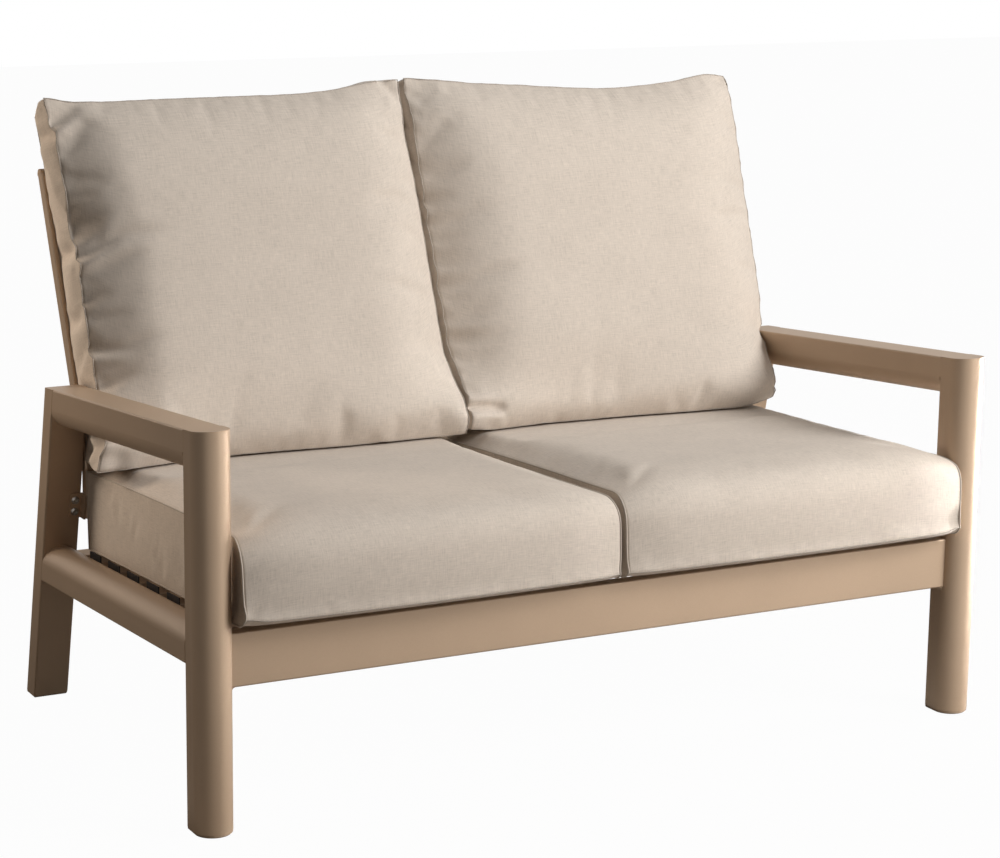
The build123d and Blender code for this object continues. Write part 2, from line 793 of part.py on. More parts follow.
# Seat cushions: boxed sides, a round front edge and a crowned top
seat_rear_end = (
    post_run - seat_rear_gap - (seat_side_height + seat_crown) * sin(radians(seat_slope))
) / cos(radians(seat_slope))
for side_name, side in side_names_shares:
    levels = []
    for height_share, inset_share in seat_low_shares:
        height = height_share * seat_side_height
        inset = inset_share * seat_edge_inset
        levels.append(seat_cushion_level(side, height, inset, seat_front_offset(height)))
    for rise_share, run_share in seat_crown_shares:
        height = seat_side_height + rise_share * seat_crown
        inset = seat_edge_inset + run_share * seat_crown_run
        levels.append(seat_cushion_level(side, height, inset, seat_front_radius - seat_edge_inset))
    with BuildPart() as seat_cushion:
        loft(sections=levels, ruled=True)
    keep_piece(seat_cushion, f"seat_cushion_{side_name}")


# How far up the back the seat cushions reach, and how far below that the back cushions start
seat_top_plane = deck_plane.offset(seat_side_height + seat_crown + soft_clearance)
seat_top_to_bend = -seat_top_plane.to_local_coords(back_plane.origin).Z
back_cushion_low = seat_top_to_bend / cos(radians(back_lean - seat_slope)) - back_cushion_tuck


def back_cushion_level(side, depth, inset, low_inset):
    """One level of a back cushion, drawn parallel to the back frame at a depth in front of it."""
    inner_x = cushion_gap / 2 + inset
    low_outer_x = inner_face_x - back_side_gap - inset
    high_outer_x = low_outer_x + back_flare
    low = back_cushion_low + low_inset
    high = back_cushion_low + back_cushion_length - inset
    corners = [
        (side * inner_x, low),
        (side * low_outer_x, low),
        (side * high_outer_x, high),
        (side * inner_x, high + back_inner_rise),
    ]
    draws = [0, back_draw, back_draw, back_inner_draw]
    return cushion_section(back_plane.offset(depth), corners, back_corner, draws)


# Back cushions: boxed sides with drawn-in edges, a full front, and a flat bottom on the seat cushion
for side_name, side in side_names_shares:
    levels = []
    for depth_share, inset_share in back_low_shares:
        inset = inset_share * back_edge_inset
        depth = soft_clearance + depth_share * back_cushion_thickness
        levels.append(back_cushion_level(side, depth, inset, inset))
    for rise_share, run_share in back_crown_shares:
        inset = back_edge_inset + run_share * back_crown_run
        depth = soft_clearance + back_cushion_thickness + rise_share * back_crown
        levels.append(back_cushion_level(side, depth, inset, back_low_fullness_share * inset))
    with BuildPart() as back_cushion:
        loft(sections=levels, ruled=True)
        split(bisect_by=seat_top_plane, keep=Keep.TOP)
    keep_piece(back_cushion, f"back_cushion_{side_name}")

print(len(pieces_made), "pieces")
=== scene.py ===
"""The look of the patio loveseat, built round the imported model. Lengths are in metres.

+X is to the right of someone who faces the seat, +Y runs to the back, +Z is up.
The frame keeps its CAD tubes and gets a powder coat. The four cushions are made here:
panels on a grid, a short cloth simulation that fills them, and seams on top.
"""
import json
import math
import random

import bpy
import numpy as np
from mathutils import Matrix, Vector


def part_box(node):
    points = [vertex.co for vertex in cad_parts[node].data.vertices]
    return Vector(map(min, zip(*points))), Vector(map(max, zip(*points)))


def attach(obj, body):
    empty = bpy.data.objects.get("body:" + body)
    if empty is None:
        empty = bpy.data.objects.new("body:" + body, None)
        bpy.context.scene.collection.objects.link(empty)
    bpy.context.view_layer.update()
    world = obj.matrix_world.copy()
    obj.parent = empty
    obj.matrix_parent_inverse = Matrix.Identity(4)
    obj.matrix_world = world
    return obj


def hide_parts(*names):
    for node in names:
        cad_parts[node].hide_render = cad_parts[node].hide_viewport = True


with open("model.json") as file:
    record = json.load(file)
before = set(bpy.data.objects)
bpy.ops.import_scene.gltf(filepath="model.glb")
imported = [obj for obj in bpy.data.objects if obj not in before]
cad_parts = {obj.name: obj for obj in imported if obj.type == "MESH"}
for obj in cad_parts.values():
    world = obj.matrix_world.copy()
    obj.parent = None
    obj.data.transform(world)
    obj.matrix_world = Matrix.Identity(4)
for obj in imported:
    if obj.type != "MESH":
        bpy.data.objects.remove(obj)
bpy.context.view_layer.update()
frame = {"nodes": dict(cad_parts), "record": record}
nodes = frame["nodes"]
MM = 0.001
SIDES = (("left", -1), ("right", 1))


def node_box(name):
    """The lowest and highest corner of a CAD node, as arrays."""
    low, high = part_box(name)
    return np.array(low), np.array(high)


# The frame's slopes, and the height of the deck at its front
SEAT_SLOPE = math.radians(3.15)
BACK_LEAN = math.radians(22.57)
ARM_FALL = math.radians(4.86)
REAR_LEG_LEAN = math.radians(13.4)
DECK_FRONT_Z = 315 * MM

# Where the shared planes lie, read from the frame
LEG_LOW, LEG_HIGH = node_box("front_leg_left")
REAR_LEG_LOW, REAR_LEG_HIGH = node_box("rear_leg_left")
ARM_LOW, ARM_HIGH = node_box("arm_left")
POST_LOW, _ = node_box("back_post_left")
NOSE_Y = LEG_LOW[1]
INNER_X = -LEG_HIGH[0]
ARM_TOP_Z = ARM_HIGH[2] + (ARM_LOW[1] - NOSE_Y) * math.tan(ARM_FALL)

# The seat's axes: across, back along the deck, up from the deck
SEAT_ORIGIN = np.array([0.0, NOSE_Y, DECK_FRONT_Z])
SEAT_AXES = np.array([
    [1.0, 0.0, 0.0],
    [0.0, math.cos(SEAT_SLOPE), -math.sin(SEAT_SLOPE)],
    [0.0, math.sin(SEAT_SLOPE), math.cos(SEAT_SLOPE)],
])
# The back's axes: across, up along the slats, forward from the slats, from a point on their fronts
BACK_ORIGIN_BEHIND_POST, BACK_ORIGIN_HEIGHT = 13 * MM, 450 * MM
BACK_ORIGIN = np.array([0.0, POST_LOW[1] + BACK_ORIGIN_BEHIND_POST, BACK_ORIGIN_HEIGHT])
BACK_AXES = np.array([
    [1.0, 0.0, 0.0],
    [0.0, math.sin(BACK_LEAN), math.cos(BACK_LEAN)],
    [0.0, -math.cos(BACK_LEAN), math.sin(BACK_LEAN)],
])

# ---------------------------------------------------------------- materials
PAINT_COLOR = (0.45, 0.322, 0.217, 1)
PAINT_METAL = 0.45
# Near black for the slats' end caps: painted shade in the gap under the seat pads, where the light doesn't reach
PAINTED_SHADE_PLASTIC_COLOR = (0.018, 0.014, 0.011, 1)
FABRIC_COLOR = (0.64, 0.558, 0.478, 1)


class Tree:
    """A short way to write the nodes of a material or of the world."""

    def __init__(self, owner):
        owner.use_nodes = True
        self.material = owner
        self.nodes = owner.node_tree.nodes
        self.links = owner.node_tree.links
        self.shader = self.nodes.get("Principled BSDF")

    def add(self, kind, inputs=None, **settings):
        """A new node, with its settings, and with its inputs set to values or linked."""
        node = self.nodes.new(kind)
        for key, value in settings.items():
            setattr(node, key, value)
        for key, value in (inputs or {}).items():
            self.feed(node, key, value)
        return node

    def feed(self, node, key, value):
        """Set an input to a value, or link it to another node's output."""
        if isinstance(value, bpy.types.NodeSocket):
            self.links.new(value, node.inputs[key])
        else:
            node.inputs[key].default_value = value

    def ramp(self, fac, stops):
        """A colour ramp with the given (position, colour) stops."""
        node = self.add("ShaderNodeValToRGB", {"Fac": fac})
        elements = node.color_ramp.elements
        while len(elements) < len(stops):
            elements.new(0.5)
        for element, (position, color) in zip(elements, stops):
            element.position = position
            element.color = color
        return node.outputs["Color"]

    def math(self, operation, first, second=0.0):
        """One arithmetic node."""
        return self.add("ShaderNodeMath", {0: first, 1: second}, operation=operation).outputs[0]


def tint(color, factor):
    """A colour made lighter or darker."""
    return tuple(min(1.0, channel * factor) for channel in color[:3]) + (1,)


def powder_coat():
    """Satin metallic powder coat: a fine orange peel and faint cloudiness."""
    tree = Tree(bpy.data.materials.new("powder_coat"))
    place = tree.add("ShaderNodeTexCoord").outputs["Object"]
    cloud = tree.add("ShaderNodeTexNoise", {"Vector": place, "Scale": 6.0, "Detail": 3.0})
    speck = tree.add("ShaderNodeTexNoise", {"Vector": place, "Scale": 900.0, "Detail": 2.0})
    mixed = tree.math("ADD", tree.math("MULTIPLY", cloud.outputs["Fac"], 0.6),
                      tree.math("MULTIPLY", speck.outputs["Fac"], 0.4))
    color = tree.ramp(mixed, [(0.3, tint(PAINT_COLOR, 0.95)), (0.7, tint(PAINT_COLOR, 1.05))])
    tree.feed(tree.shader, "Base Color", color)
    peel = tree.add("ShaderNodeTexNoise", {"Vector": place, "Scale": 420.0, "Detail": 2.0})
    rough = tree.add("ShaderNodeMapRange", {"Value": peel.outputs["Fac"], "To Min": 0.42, "To Max": 0.54})
    tree.feed(tree.shader, "Roughness", rough.outputs["Result"])
    bump = tree.add("ShaderNodeBump", {"Strength": 0.12, "Distance": 0.0004, "Height": peel.outputs["Fac"]})
    tree.feed(tree.shader, "Normal", bump.outputs["Normal"])
    tree.shader.inputs["Specular IOR Level"].default_value = 0.5
    tree.shader.inputs["Metallic"].default_value = PAINT_METAL
    tree.shader.inputs["Coat Weight"].default_value = 0.2
    tree.shader.inputs["Coat Roughness"].default_value = 0.5
    return tree.material


def moulded_plastic(name, base):
    """Matt moulded plastic: the frame's colour for feet, caps and plugs, and near black for the slats' end caps, as
    painted shade in the unlit gap under the seat pads.
    """
    tree = Tree(bpy.data.materials.new(name))
    place = tree.add("ShaderNodeTexCoord").outputs["Object"]
    grain = tree.add("ShaderNodeTexNoise", {"Vector": place, "Scale": 700.0, "Detail": 3.0})
    color = tree.ramp(grain.outputs["Fac"], [(0.3, tint(base, 0.84)), (0.7, tint(base, 0.94))])
    tree.feed(tree.shader, "Base Color", color)
    tree.shader.inputs["Roughness"].default_value = 0.62
    bump = tree.add("ShaderNodeBump", {"Strength": 0.15, "Distance": 0.0003, "Height": grain.outputs["Fac"]})
    tree.feed(tree.shader, "Normal", bump.outputs["Normal"])
    return tree.material


def zinc_steel():
    """Zinc-plated steel with a faint spangle, for bolts, spacers and inserts."""
    tree = Tree(bpy.data.materials.new("zinc_steel"))
    place = tree.add("ShaderNodeTexCoord").outputs["Object"]
    spangle = tree.add("ShaderNodeTexVoronoi", {"Vector": place, "Scale": 260.0})
    color = tree.ramp(spangle.outputs["Distance"], [(0.0, (0.33, 0.31, 0.28, 1)), (1.0, (0.46, 0.44, 0.41, 1))])
    tree.feed(tree.shader, "Base Color", color)
    rough = tree.add("ShaderNodeMapRange", {"Value": spangle.outputs["Distance"], "To Min": 0.28, "To Max": 0.42})
    tree.feed(tree.shader, "Roughness", rough.outputs["Result"])
    tree.shader.inputs["Metallic"].default_value = 1.0
    return tree.material


def linen_weave(name, color):
    """A slubby linen-look weave: crossed threads of uneven thickness, with lighter and darker yarns."""
    tree = Tree(bpy.data.materials.new(name))
    place = tree.add("ShaderNodeUVMap", uv_map="cloth").outputs["UV"]

    def yarns(scale, offset):
        """Long streaks along one thread direction: noise that is stretched along the thread."""
        moved = tree.add("ShaderNodeMapping", {"Vector": place, "Location": (offset, offset, 0), "Scale": scale})
        return tree.add(
            "ShaderNodeTexNoise", {"Vector": moved.outputs["Vector"], "Scale": 1.0, "Detail": 2.0}
        ).outputs["Fac"]

    warp = yarns((620.0, 45.0, 1.0), 3.1)
    weft = yarns((45.0, 620.0, 1.0), 7.7)
    fine_warp = yarns((1500.0, 130.0, 1.0), 1.3)
    fine_weft = yarns((130.0, 1500.0, 1.0), 5.9)
    broad = tree.add("ShaderNodeTexNoise", {"Vector": place, "Scale": 14.0, "Detail": 3.0}).outputs["Fac"]
    coarse = tree.math("ADD", warp, weft)
    fine = tree.math("ADD", fine_warp, fine_weft)
    weave = tree.math("ADD", tree.math("MULTIPLY", coarse, 0.3), tree.math("MULTIPLY", fine, 0.2))
    total = tree.math("ADD", weave, tree.math("MULTIPLY", tree.math("SUBTRACT", broad, 0.5), 0.12))
    shade = tree.ramp(total, [
        (0.38, tint(color, 0.84)), (0.47, tint(color, 0.97)), (0.53, tint(color, 1.02)), (0.62, tint(color, 1.12)),
    ])
    tree.feed(tree.shader, "Base Color", shade)
    tree.shader.inputs["Roughness"].default_value = 0.9
    tree.shader.inputs["Specular IOR Level"].default_value = 0.15
    tree.shader.inputs["Sheen Weight"].default_value = 0.12
    tree.shader.inputs["Sheen Roughness"].default_value = 0.5
    bump = tree.add("ShaderNodeBump", {"Strength": 0.45, "Distance": 0.0006, "Height": weave})
    tree.feed(tree.shader, "Normal", bump.outputs["Normal"])
    return tree.material


def seam_thread():
    """Sewing thread a little darker than the cloth."""
    tree = Tree(bpy.data.materials.new("seam_thread"))
    place = tree.add("ShaderNodeTexCoord").outputs["Object"]
    twist = tree.add("ShaderNodeTexNoise", {"Vector": place, "Scale": 800.0, "Detail": 2.0})
    color = tree.ramp(twist.outputs["Fac"], [(0.3, tint(FABRIC_COLOR, 0.55)), (0.7, tint(FABRIC_COLOR, 0.8))])
    tree.feed(tree.shader, "Base Color", color)
    tree.shader.inputs["Roughness"].default_value = 0.85
    return tree.material


paint = powder_coat()
plastic = moulded_plastic("moulded_plastic", PAINT_COLOR)
painted_shade_plastic = moulded_plastic("painted_shade_plastic", PAINTED_SHADE_PLASTIC_COLOR)
steel = zinc_steel()
linen = linen_weave("linen_weave", FABRIC_COLOR)
thread = seam_thread()
welt = linen_weave("welt_cloth", tint(FABRIC_COLOR, 0.82))

SLOT_MATERIALS = {"frame_coat": paint, "cap_plastic": plastic, "zinc_steel": steel, "cushion_fabric": linen}
slot_of = {row["node"]: row["material_slot"] for row in frame["record"]["subparts"]}
for node_name, node_object in nodes.items():
    node_object.data.materials.clear()
    node_object.data.materials.append(SLOT_MATERIALS[slot_of[node_name]])
# The slats' end caps are painted near black: painted shade for the dark gap between the seat pads and the side rails
nodes["slat_end_caps"].data.materials[0] = painted_shade_plastic


# ---------------------------------------------------------------- weld dressing on the frame
FILLET = 6.5 * MM
FILLET_ROOT = 0.5 * MM      # how far a fillet reaches into the tubes that it joins
TUBE_CORNER = 3 * MM
ARM_FLAT_SIDE = 34 * MM     # how far down the arm's side stays flat
ARM_WELD_SINK = 0.02        # how far the ground weld's edges lie below the tube's face
ARM_WELD_ROWS = ((-8, 0.0), (-4.5, 0.18), (0, 0.22), (4, 0.18), (7, 0.0))  # (along the arm, how proud)
TUBE_END_REACH, TUBE_END_LOW = 12 * MM, 1.5 * MM


def frame_piece(name, vertices, faces, smooth):
    """A small painted piece that belongs to the frame."""
    mesh = bpy.data.meshes.new(name)
    mesh.from_pydata([tuple(vertex) for vertex in vertices], [], faces)
    mesh.polygons.foreach_set("use_smooth", smooth)
    mesh.materials.append(paint)
    piece = bpy.data.objects.new(name, mesh)
    bpy.context.scene.collection.objects.link(piece)
    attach(piece, "frame")


def weld_fillet(name, corner, along_piece, along_leg, across, steps=6):
    """A concave weld fillet in a corner between two tubes, with its length along across."""
    corner, along_piece, along_leg, across = (np.array(value, float) for value in (
        corner, along_piece, along_leg, across))
    angles = [math.pi / 2 * step / steps for step in range(steps + 1)]
    profile = [FILLET * ((1 - math.sin(angle)) * along_piece + (1 - math.cos(angle)) * along_leg) for angle in angles]
    inset = -FILLET_ROOT * (along_piece + along_leg)
    ends = [[corner + inset + shift] + [corner + shift + point for point in profile] for shift in (0 * across, across)]
    count = steps + 2
    faces = [tuple(range(count)), tuple(range(2 * count - 1, count - 1, -1))]
    faces += [(a, (a + 1) % count, count + (a + 1) % count, count + a) for a in range(count)]
    smooth = [False, False, False] + [True] * steps + [False]
    frame_piece(name, ends[0] + ends[1], faces, smooth[:len(faces)])


def ground_weld(name, x, outward, joint_y):
    """The weld between an arm and its front leg, ground flush: a thin skin over the leg's rounded rear edge."""
    vertices = []
    for drop in (TUBE_CORNER, ARM_FLAT_SIDE):
        for offset, proud in ARM_WELD_ROWS:
            y = joint_y + offset * MM
            top = ARM_TOP_Z - (y - NOSE_Y) * math.tan(ARM_FALL)
            vertices.append((x + outward * (proud - ARM_WELD_SINK) * MM, y, top - drop))
    count = len(ARM_WELD_ROWS)
    faces = [(a, a + 1, count + a + 1, count + a) for a in range(count - 1)]
    frame_piece(name, vertices, faces, [True] * len(faces))


def end_corner(node, towards):
    """The lowest corner of a tube at its front (-1) or rear (1) end."""
    place = nodes[node].matrix_world
    points = np.array([place @ vertex.co for vertex in nodes[node].data.vertices])
    end = points[:, 1].max() if towards > 0 else points[:, 1].min()
    near_end = points[np.abs(points[:, 1] - end) < TUBE_END_REACH]
    lowest = near_end[near_end[:, 2] < near_end[:, 2].min() + TUBE_END_LOW]
    return lowest[np.argmax(towards * lowest[:, 1])]


def dress_frame():
    """Weld fillets under the apron and the side rails, and ground welds on the arms."""
    apron_low, apron_high = node_box("front_apron")
    rail_way = np.array([0, math.cos(SEAT_SLOPE), -math.sin(SEAT_SLOPE)])
    rear_leg_down = np.array([0, math.sin(REAR_LEG_LEAN), -math.cos(REAR_LEG_LEAN)])
    down = (0, 0, -1)
    apron_depth = (0, apron_high[1] - apron_low[1] - 2 * TUBE_CORNER, 0)
    for side_name, side in SIDES:
        apron_corner = (side * INNER_X, apron_low[1] + TUBE_CORNER, apron_low[2])
        weld_fillet(f"apron_fillet_{side_name}", apron_corner, (-side, 0, 0), down, apron_depth)
        rail = f"side_rail_{side_name}"
        rail_low, rail_high = node_box(rail)
        start_x = rail_low[0] + TUBE_CORNER
        width = (rail_high[0] - rail_low[0] - 2 * TUBE_CORNER, 0, 0)
        front, rear = end_corner(rail, -1), end_corner(rail, 1)
        weld_fillet(f"rail_front_fillet_{side_name}", (start_x, LEG_HIGH[1], front[2]), rail_way, down, width)
        weld_fillet(f"rail_rear_fillet_{side_name}", (start_x, rear[1], rear[2]), -rail_way, rear_leg_down, width)
        arm_low, arm_high = node_box(f"arm_{side_name}")
        for x, outward, label in ((arm_low[0], -1, "low_x"), (arm_high[0], 1, "high_x")):
            ground_weld(f"arm_weld_{side_name}_{label}", x, outward, LEG_HIGH[1])


dress_frame()

# ---------------------------------------------------------------- cushions
CONTACT_GAP = 0.9 * MM          # between a pad and what it rests on
ON_EDGE = 0.999                 # beyond this share of its half size, a point lies on a side of its pad

SEAT_CELLS = (66, 68, 14)       # across, along and through
SEAT_DEPTH = 659 * MM
SEAT_OVERHANG = 18 * MM
SEAT_SIDE = 132 * MM
SEAT_CROWN = 18 * MM
SEAT_TOP = SEAT_SIDE + SEAT_CROWN
SEAT_CROWN_SIDE_RUN, SEAT_CROWN_END_RUN = 110 * MM, 70 * MM
SEAT_ROUND = 44 * MM            # the front's top edge
SEAT_LIP, SEAT_LIP_RUN = 10 * MM, 16 * MM   # the front seam lies this far above the deck
SEAT_INNER_GAP, SEAT_OUTER_GAP = 4.5 * MM, 3.0 * MM
SEAT_WAIST = 3 * MM             # how far the sides draw in halfway along
SEAT_BULGE = 9 * MM             # how far the front swells forward
SEAT_BELLY = 2.5 * MM           # how far the side panels swell
SEAT_PINCH_REACH, SEAT_PINCH_WIDTH = 17 * MM, 26 * MM
SEAT_SAG, SEAT_SAG_REACH = 4 * MM, 20 * MM  # of the front seam's middle
SEAT_WIDENING = 9 * MM          # how far the right pad's front corner swells before the leg
SEAT_REAR_LIMIT = 641 * MM      # the posts' fronts
SEAT_SIDE_LIMITS = (2.0 * MM, INNER_X - 2.2 * MM)
SEAT_UNDER_BACK = (380 * MM, 430 * MM)      # where the back pads' feet begin to rest on the seat
SEAT_FREE_RISE = 6 * MM
WELT_RADIUS, WELT_CLEARANCE = 1.5 * MM, 0.6 * MM

BACK_CELLS = (68, 68, 12)
BACK_SEAM_DEPTH = 98 * MM
BACK_CROWN = 53 * MM
BACK_HALF = 320 * MM            # half of a back pad's width and length, near enough for its edges
BACK_INNER_HEIGHT, BACK_OUTER_HEIGHT = 575 * MM, 560 * MM   # of the front seam's top corners
BACK_REAR_DRAW = 8 * MM         # how much smaller the rear panel is, all round
BACK_CORNER_TAPER = (12 * MM, 6 * MM)       # how much thinner the corners are, in front and behind
BACK_BELLY, BACK_TOP_BELLY = 11 * MM, 6 * MM
BACK_FOOT_ROLL = 32 * MM        # how far the foot's lowest edge rolls back under the face
BACK_FOOT_GAP = 3.4 * MM        # between the front of the foot and the seat


def eased(value, low, high):
    """0 below low, 1 above high, with a smooth change between them."""
    t = np.clip((value - low) / (high - low), 0.0, 1.0)
    return t * t * (3 - 2 * t)


def bell(distance, reach):
    """1 at no distance, falling smoothly, with 0.37 left at the reach."""
    return np.exp(-((distance / reach) ** 2))


def through_points(points, value):
    """A smooth line through a few measured (place, amount) points, in millimetres, read at a value in metres."""
    places, amounts = np.array(points, float).T * MM
    fine = np.linspace(places[0], places[-1], 200)
    line = np.interp(fine, places, amounts)
    padded_line = np.concatenate([np.full(12, line[0]), line, np.full(12, line[-1])])
    smooth = np.convolve(padded_line, np.ones(25) / 25, mode="valid")
    return np.interp(value, fine, smooth)


class PadGrid:
    """The surface of a box cut into quads. (u, v, w) run from -1 to 1: across, along and through the pad."""

    def __init__(self, cells):
        self.cells = cells
        self.found = {}
        self.faces, self.face_sides = [], []
        for axis in range(3):
            first, second = (other for other in range(3) if other != axis)
            for end, sign in ((0, -1), (cells[axis], 1)):
                for a in range(cells[first]):
                    for b in range(cells[second]):
                        quad = []
                        for step_a, step_b in ((0, 0), (1, 0), (1, 1), (0, 1)):
                            cell = [0, 0, 0]
                            cell[axis], cell[first], cell[second] = end, a + step_a, b + step_b
                            quad.append(self.vertex(tuple(cell)))
                        self.faces.append(quad if (sign > 0) != (axis == 1) else quad[::-1])
                        self.face_sides.append((axis, sign))
        lattice = np.array(list(self.found), float)
        self.u, self.v, self.w = (2 * lattice / np.array(cells) - 1).T

    def vertex(self, cell):
        """The number of the vertex at a lattice cell."""
        return self.found.setdefault(cell, len(self.found))

    def ring(self, axis, end):
        """The closed row of vertices round one side of the box."""
        first, second = (other for other in range(3) if other != axis)
        last_a, last_b = self.cells[first], self.cells[second]
        path = [(a, 0) for a in range(last_a)] + [(last_a, b) for b in range(last_b)]
        path += [(a, last_b) for a in range(last_a, 0, -1)] + [(0, b) for b in range(last_b, 0, -1)]
        row = []
        for a, b in path:
            cell = [0, 0, 0]
            cell[axis] = self.cells[axis] if end > 0 else 0
            cell[first], cell[second] = a, b
            row.append(self.vertex(tuple(cell)))
        return row

    def edge(self, axis, ends):
        """The open row of vertices along one edge of the box; ends gives the other two axes' signs."""
        row = []
        for a in range(self.cells[axis] + 1):
            cell = [0, 0, 0]
            cell[axis] = a
            for other, sign in ends.items():
                cell[other] = self.cells[other] if sign > 0 else 0
            row.append(self.vertex(tuple(cell)))
        return row


def vertex_normals(points, faces):
    """Area-weighted normals of a quad mesh."""
    quads = np.array(faces)
    cross = np.cross(points[quads[:, 2]] - points[quads[:, 0]], points[quads[:, 3]] - points[quads[:, 1]])
    normals = np.zeros_like(points)
    for corner in range(4):
        np.add.at(normals, quads[:, corner], cross)
    return normals / np.maximum(np.linalg.norm(normals, axis=1, keepdims=True), 1e-12)


def fold(flat, start, end, width, depth):
    """A crease across a panel: a valley from start to end that fades out, with a soft ridge beside it."""
    start, end = np.array(start) * MM, np.array(end) * MM
    run = end - start
    length = np.linalg.norm(run)
    along = np.clip((flat - start) @ run / length**2, -0.15, 1.0)
    nearest = start + np.outer(along, run)
    side = (flat - nearest) @ np.array([-run[1], run[0]]) / length
    distance = np.linalg.norm(flat - nearest, axis=1)
    fade = (1 - np.clip(along, 0, 1)) ** 0.8
    valley = bell(distance, width * MM)
    ridge = bell(side - 1.7 * width * MM, width * MM) * bell(np.maximum(distance - np.abs(side), 0), width * MM)
    return depth * MM * fade * (0.6 * ridge - valley)


def gathers(place, seed, spacing):
    """Uneven small gathers along a seam, from -1 to 1, as a sum of a few waves."""
    rng = random.Random(seed)
    total = np.zeros_like(place)
    for harmonic in (0.6, 1.0, 1.7, 2.6):
        phase = rng.uniform(0, 2 * math.pi)
        total += rng.uniform(0.5, 1.0) / harmonic**0.5 * np.sin(2 * math.pi * place * harmonic / spacing + phase)
    return np.tanh(total)


def blended_patch(s, t, low, high, left, right):
    """A patch between four edge lines: low and high run with s, left and right run with t."""
    zero, one = np.zeros_like(s), np.ones_like(s)
    s_, t_ = s[:, None], t[:, None]
    ruled = (1 - t_) * low(s) + t_ * high(s) + (1 - s_) * left(t) + s_ * right(t)
    corners = (1 - s_) * ((1 - t_) * low(zero) + t_ * high(zero)) + s_ * ((1 - t_) * low(one) + t_ * high(one))
    return ruled - corners


def fullness(distance, run, power=2.3):
    """How far a crown has risen at a distance from its seam: 0 on the seam, 1 beyond the run."""
    return 1 - (1 - np.clip(distance / run, 0, 1)) ** power


def seat_shape(grid, side):
    """A seat pad: one panel over the top and down the round front, with a seam along each side."""
    u, v, w = grid.u, grid.v, grid.w
    front, lip = -SEAT_OVERHANG, SEAT_LIP
    arc = SEAT_ROUND * math.pi / 4
    straight = SEAT_SIDE - SEAT_ROUND

    def front_line(t):
        rise = lip + t * (straight - lip + arc)
        turn = np.maximum(rise - straight, 0) / SEAT_ROUND
        height = np.minimum(rise, straight) + SEAT_ROUND * np.sin(turn)
        return np.stack([front + SEAT_ROUND * (1 - np.cos(turn)), height], 1)

    def top_line(s):
        run = s * (SEAT_DEPTH - SEAT_ROUND + arc)
        turn = math.pi / 4 + np.minimum(run, arc) / SEAT_ROUND
        depth = front + SEAT_ROUND * (1 - np.cos(turn)) + np.maximum(run - arc, 0)
        return np.stack([depth, straight + SEAT_ROUND * np.sin(turn)], 1)

    def low_line(s):
        depth = front + s * SEAT_DEPTH
        return np.stack([depth, lip * (1 - eased(s * SEAT_DEPTH, 0, SEAT_LIP_RUN))], 1)

    def rear_line(t):
        return np.stack([np.full_like(t, front + SEAT_DEPTH), t * SEAT_SIDE], 1)

    depth, height = blended_patch((v + 1) / 2, (w + 1) / 2, low_line, top_line, front_line, rear_line).T
    inner, outer = SEAT_INNER_GAP, INNER_X - SEAT_OUTER_GAP
    half = (outer - inner) / 2
    x = (inner + outer) / 2 + u * half
    x -= np.sign(u) * eased(np.abs(u), 0.5, 1) * SEAT_WAIST * (1 - v * v)
    depth -= SEAT_BULGE * (1 - u * u) * eased(-v, 0.0, 1.0)
    if side > 0:
        x += SEAT_WIDENING * eased(u, 0.7, 1.0) * eased(-depth, -14 * MM, 0)
    points = np.stack([side * x, depth, height], 1)
    normals = vertex_normals(points, grid.faces if side > 0 else [face[::-1] for face in grid.faces])
    across = fullness((1 - np.abs(u)) * half, SEAT_CROWN_SIDE_RUN)
    along = (1 - 0.3 * eased(-v, 0.6, 1.0)) * fullness((1 - v) / 2 * SEAT_DEPTH, SEAT_CROWN_END_RUN)
    t = (w + 1) / 2
    on_top, on_front, on_side = w > ON_EDGE, (v < -ON_EDGE) & (w < ON_EDGE), np.abs(u) > ON_EDGE
    rise = np.where(on_front, 0.7 * t + 0.5 * np.sin(math.pi * t) * (1 - t), np.where(on_top, along, 0.0))
    points += normals * (SEAT_CROWN * across * rise)[:, None]
    belly = SEAT_BELLY * np.sin(math.pi * t) * (1 - np.abs(v) ** 6)
    points[:, 0] += np.where(on_side, side * np.sign(u) * belly, 0)
    foot = np.linalg.norm(np.stack([points[:, 1] - front, points[:, 2] - lip], 1), axis=1)
    pinch = bell(foot, SEAT_PINCH_REACH) * bell((1 - np.abs(u)) * half, SEAT_PINCH_WIDTH)
    draw_in, lift = np.where(u > 0, 4, 3), np.where(u > 0, 5, 1)
    points += pinch[:, None] * np.stack([-side * np.sign(u) * draw_in, np.full_like(u, 4), lift], 1) * MM
    points[:, 2] -= SEAT_SAG * (1 - u * u) * bell(foot, SEAT_SAG_REACH) * (w > -0.5)
    return points


def seat_limits(points, side, on_seam):
    """Keep a seat pad off the deck, the legs, the posts and its neighbour."""
    low_x, high_x = SEAT_SIDE_LIMITS
    before_leg = SEAT_WIDENING * eased(-points[:, 1], -12 * MM, 4 * MM) if side > 0 else 0
    points[:, 0] = side * np.clip(side * points[:, 0], low_x, high_x + before_leg)
    points[:, 1] = np.minimum(points[:, 1], SEAT_REAR_LIMIT)
    resting = eased(points[:, 1], *SEAT_UNDER_BACK)
    lowest = np.where(on_seam, WELT_RADIUS + WELT_CLEARANCE, CONTACT_GAP)
    points[:, 2] = np.clip(points[:, 2], lowest, SEAT_TOP + (1 - resting) * SEAT_FREE_RISE)
    return points


